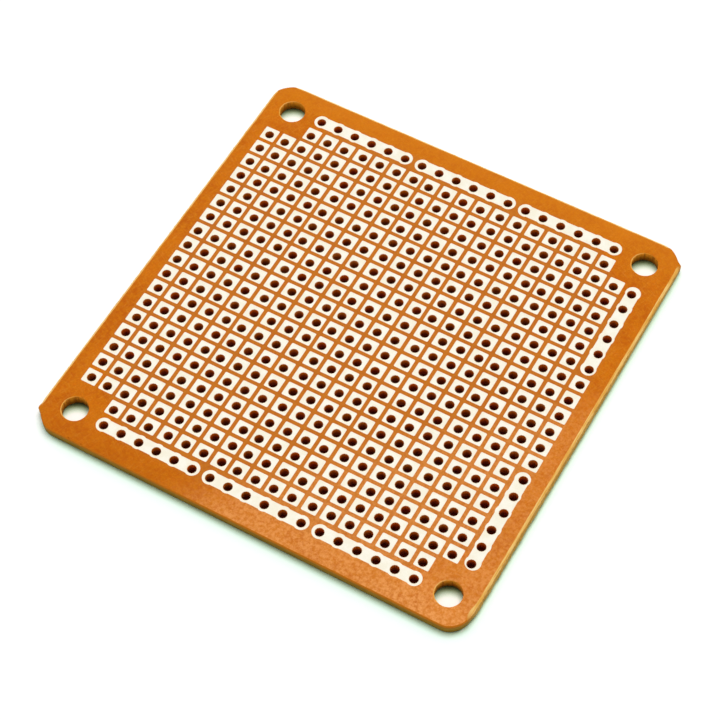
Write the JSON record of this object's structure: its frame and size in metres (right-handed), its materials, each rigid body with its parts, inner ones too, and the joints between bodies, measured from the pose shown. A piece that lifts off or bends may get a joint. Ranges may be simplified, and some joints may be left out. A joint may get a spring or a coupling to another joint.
{
  "type": "prototype board",
  "caption": "Square prototype board of brown phenolic paper: a grid of lead holes in square pads, copper strips near three edges and a fixing hole in each rounded corner.",
  "frame": {"origin": "middle of the board's outline, on its bare underside", "axes": "+X to the right edge, the one with a single column of copper strips; +Y to the back edge; +Z out of the copper side"},
  "size_m": [0.0604, 0.0608, 0.0015],
  "materials": {
    "phenolic_paper": "brown phenolic paper laminate with a low sheen, raw paper fibres on the snapped edges",
    "tinned_copper": "etched copper foil with a pale cream-white tinned finish, satin"
  },
  "bodies": {
    "root": {"laminate": "phenolic_paper", "strip_back_left": "tinned_copper", "strip_back_middle": "tinned_copper", "strip_back_right": "tinned_copper", "strip_front_left": "tinned_copper", "strip_front_middle": "tinned_copper", "strip_front_right": "tinned_copper", "strip_right_back": "tinned_copper", "strip_right_front": "tinned_copper", "pad_row_01": "tinned_copper", "pad_row_02": "tinned_copper", "pad_row_03": "tinned_copper", "pad_row_04": "tinned_copper", "pad_row_05": "tinned_copper", "pad_row_06": "tinned_copper", "pad_row_07": "tinned_copper", "pad_row_08": "tinned_copper", "pad_row_09": "tinned_copper", "pad_row_10": "tinned_copper", "pad_row_11": "tinned_copper", "pad_row_12": "tinned_copper", "pad_row_13": "tinned_copper", "pad_row_14": "tinned_copper", "pad_row_15": "tinned_copper", "pad_row_16": "tinned_copper", "pad_row_17": "tinned_copper", "pad_row_18": "tinned_copper", "pad_row_19": "tinned_copper", "pad_row_20": "tinned_copper"}
  },
  "joints": []
}
